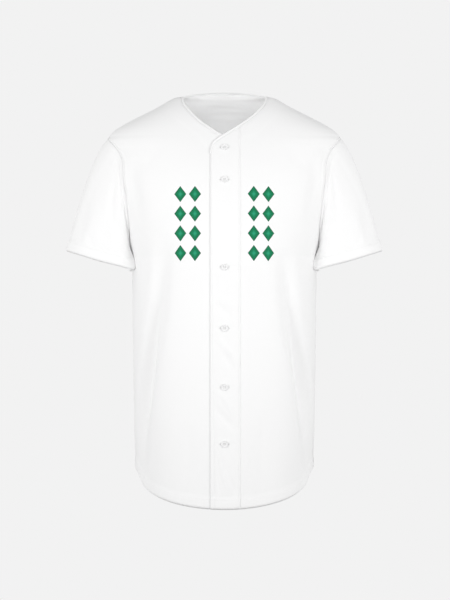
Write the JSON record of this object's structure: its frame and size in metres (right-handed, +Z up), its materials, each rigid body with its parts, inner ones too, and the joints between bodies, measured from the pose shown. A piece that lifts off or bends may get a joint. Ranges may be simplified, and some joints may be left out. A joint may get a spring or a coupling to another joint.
{
  "type": "baseball jersey",
  "caption": "Short-sleeved baseball jersey filled out as if worn, hollow, with a V neck, full button placket, set-in sleeves and rounded shirt-tail hem.",
  "frame": {"origin": "midway between the two side-neck points, where a wearer's shoulders hold the jersey up", "axes": "+Z up, -Y the way the front faces, +X the wearer's left"},
  "size_m": [0.6034, 0.2767, 0.7854],
  "materials": {
    "cloth": "white knitted polyester, matt with a soft sheen",
    "band": "white polyester, double layer",
    "button": "white moulded plastic, satin"
  },
  "bodies": {
    "root": {"front_right": "cloth", "front_left": "cloth", "back": "cloth", "sleeve_right": "cloth", "sleeve_left": "cloth", "placket": "band", "neck_binding": "band", "button_1": "button", "button_2": "button", "button_3": "button", "button_4": "button", "button_5": "button", "button_6": "button"}
  },
  "joints": []
}
